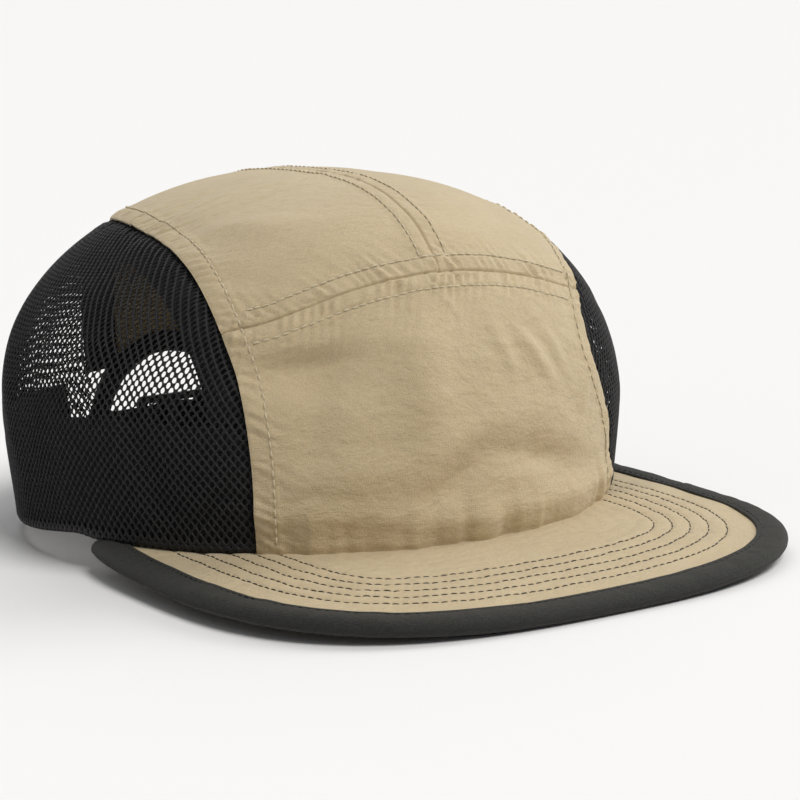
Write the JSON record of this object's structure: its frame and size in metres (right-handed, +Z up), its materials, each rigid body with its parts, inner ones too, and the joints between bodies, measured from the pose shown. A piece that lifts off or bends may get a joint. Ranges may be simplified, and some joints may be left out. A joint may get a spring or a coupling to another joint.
{
  "type": "technical cap",
  "caption": "Soft five-panel cap with a khaki front and top, black mesh sides, a flat stitched brim with a rolled edge, and a strap at the nape.",
  "frame": {"origin": "middle of the cap's length and width, on the surface that it rests on", "axes": "+Z up, -Y the way the brim points, +X the wearer's left"},
  "size_m": [0.1892, 0.2579, 0.1079],
  "materials": {
    "khaki_cloth": "fine woven nylon with a soft sheen",
    "black_mesh": "open knitted mesh, matte",
    "black_tape": "matte knitted tape",
    "charcoal_binding": "rolled woven binding, soft sheen",
    "black_webbing": "ribbed webbing",
    "black_plastic": "moulded, satin"
  },
  "bodies": {
    "root": {"front_panel": "khaki_cloth", "top_panel_left": "khaki_cloth", "top_panel_right": "khaki_cloth", "side_mesh_left": "black_mesh", "side_mesh_right": "black_mesh", "seam_tape_left": "black_tape", "seam_tape_right": "black_tape", "sweatband": "black_tape", "brim": "khaki_cloth", "brim_binding": "charcoal_binding", "back_strap": "black_webbing", "strap_slider": "black_plastic"}
  },
  "joints": []
}
